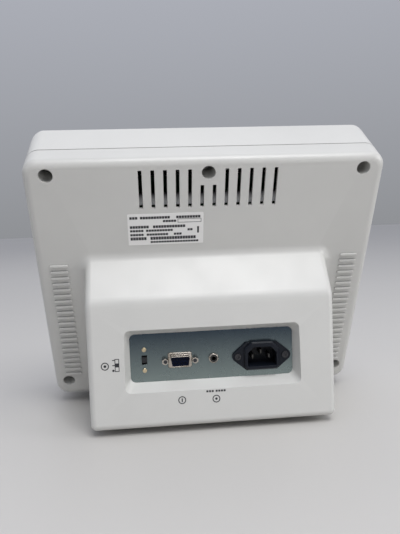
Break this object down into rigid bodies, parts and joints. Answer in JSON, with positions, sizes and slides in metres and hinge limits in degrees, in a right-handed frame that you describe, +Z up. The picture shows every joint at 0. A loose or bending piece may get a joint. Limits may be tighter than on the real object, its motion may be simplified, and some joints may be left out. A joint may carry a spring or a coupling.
{
  "type": "patient monitor",
  "caption": "Desktop ward monitor with leaning display casing, deep rear connector housing, mains inlet, serial socket, jack, slide switch and strip printer.",
  "frame": {"origin": "on the table, under the middle of the bounding box", "axes": "+X across the unit, +Y to the connector side (rear), -Y to the display side, +Z up"},
  "size_m": [0.284, 0.1531, 0.2504],
  "materials": {
    "case_plastic": "fine spark-eroded texture",
    "case_screw_steel": "zinc plated",
    "foot_rubber": "matt",
    "label_film": null,
    "zinc_sheet": "zinc-plated sheet",
    "inlet_plastic": "moulded",
    "nickel": "nickel plated",
    "black_screw": "blackened",
    "insert_plastic": "moulded",
    "jack_plastic": "moulded",
    "switch_plastic": "moulded",
    "yellow_zinc": "yellow zinc plated",
    "light_sheet": "light coated sheet",
    "display_glass": "touch glass",
    "display_black": "display face and frame",
    "bright_steel": "bright sheet and turned steel",
    "board_green": "solder mask",
    "chip_black": "moulded packages",
    "speaker_black": "paper cone and basket",
    "lens_green": "light guide",
    "key_grey": "moulded key",
    "socket_grey": "moulded",
    "printer_grey": "moulded",
    "platen_rubber": "ground rubber",
    "head_aluminium": "anodised",
    "core_card": "wound card",
    "thermal_paper": "thermal paper",
    "transformer_yellow": "taped winding and core",
    "capacitor_sleeve": "sleeved can"
  },
  "bodies": {
    "case": {"rear_cover": "case_plastic", "front_cover": "case_plastic", "case_screws": "case_screw_steel", "rubber_feet": "foot_rubber", "rating_label": "label_film", "rear_panel": "zinc_sheet", "tray_screws": "bright_steel", "inlet_body": "inlet_plastic", "inlet_blades": "nickel", "inlet_screws": "black_screw", "serial_shell": "nickel", "serial_insert": "insert_plastic", "serial_jackscrews": "nickel", "jack_body": "jack_plastic", "jack_nut": "nickel", "slide_switch_body": "switch_plastic", "slide_switch_screws": "yellow_zinc", "vent_shield": "light_sheet", "shield_screws": "bright_steel", "touch_glass": "display_glass", "display_module": "display_black", "display_bracket": "bright_steel", "display_screws": "bright_steel", "board_standoffs": "nickel", "main_board": "board_green", "board_screws": "bright_steel", "board_chips": "chip_black", "speaker": "speaker_black", "status_lens": "lens_green", "key_board": "board_green", "key_board_screws": "bright_steel", "key_switches": "chip_black", "probe_sockets": "socket_grey", "socket_inserts": "chip_black", "printer_frame": "printer_grey", "door_pin": "bright_steel", "print_head": "head_aluminium", "roll_spindle": "printer_grey", "supply_standoffs": "nickel", "supply_board": "board_green", "supply_screws": "bright_steel", "supply_transformer": "transformer_yellow", "supply_capacitors": "capacitor_sleeve", "heat_sink": "head_aluminium", "connector_board": "board_green", "tall_standoffs": "nickel", "connector_board_screws": "bright_steel"},
    "slider": {"slide_switch_slider": "switch_plastic"},
    "power_button": {"power_button": "key_grey"},
    "printer_door": {"printer_door": "case_plastic"},
    "platen": {"platen_roller": "platen_rubber", "platen_shaft": "bright_steel"},
    "paper_roll": {"paper_roll": "thermal_paper", "roll_core": "core_card"},
    "function_key_1": {"function_key_1": "key_grey"},
    "function_key_2": {"function_key_2": "key_grey"},
    "function_key_3": {"function_key_3": "key_grey"},
    "function_key_4": {"function_key_4": "key_grey"},
    "function_key_5": {"function_key_5": "key_grey"}
  },
  "joints": [
    {"name": "power_button_press", "type": "slide", "parent": "case", "child": "power_button", "axis": [0, 0.9063, -0.4226], "range_m": [0, 0.0008], "stiffness_N_per_m": 400, "springref_m": -0.0004},
    {"name": "function_key_1_press", "type": "slide", "parent": "case", "child": "function_key_1", "axis": [0, 0.9063, -0.4226], "range_m": [0, 0.0008], "stiffness_N_per_m": 400, "springref_m": -0.0004},
    {"name": "function_key_2_press", "type": "slide", "parent": "case", "child": "function_key_2", "axis": [0, 0.9063, -0.4226], "range_m": [0, 0.0008], "stiffness_N_per_m": 400, "springref_m": -0.0004},
    {"name": "function_key_3_press", "type": "slide", "parent": "case", "child": "function_key_3", "axis": [0, 0.9063, -0.4226], "range_m": [0, 0.0008], "stiffness_N_per_m": 400, "springref_m": -0.0004},
    {"name": "function_key_4_press", "type": "slide", "parent": "case", "child": "function_key_4", "axis": [0, 0.9063, -0.4226], "range_m": [0, 0.0008], "stiffness_N_per_m": 400, "springref_m": -0.0004},
    {"name": "function_key_5_press", "type": "slide", "parent": "case", "child": "function_key_5", "axis": [0, 0.9063, -0.4226], "range_m": [0, 0.0008], "stiffness_N_per_m": 400, "springref_m": -0.0004},
    {"name": "slider_slide", "type": "slide", "parent": "case", "child": "slider", "axis": [0, 0, 1], "range_m": [-0.0015, 0.0015]},
    {"name": "printer_door_hinge", "type": "hinge", "parent": "case", "child": "printer_door", "pos_m": [0.081, -0.06268, 0.03955], "axis": [1, 0, 0], "range_deg": [0, 90]},
    {"name": "platen_spin", "type": "hinge", "parent": "printer_door", "child": "platen", "pos_m": [0.081, -0.04309, 0.07896], "axis": [1, 0, 0], "continuous": true},
    {"name": "paper_roll_spin", "type": "hinge", "parent": "case", "child": "paper_roll", "pos_m": [0.081, -0.03069, 0.0478], "axis": [1, 0, 0], "continuous": true}
  ],
  "couplings": [
    {"joint": "platen_spin", "follows": "paper_roll_spin", "ratio": 3.6}
  ]
}
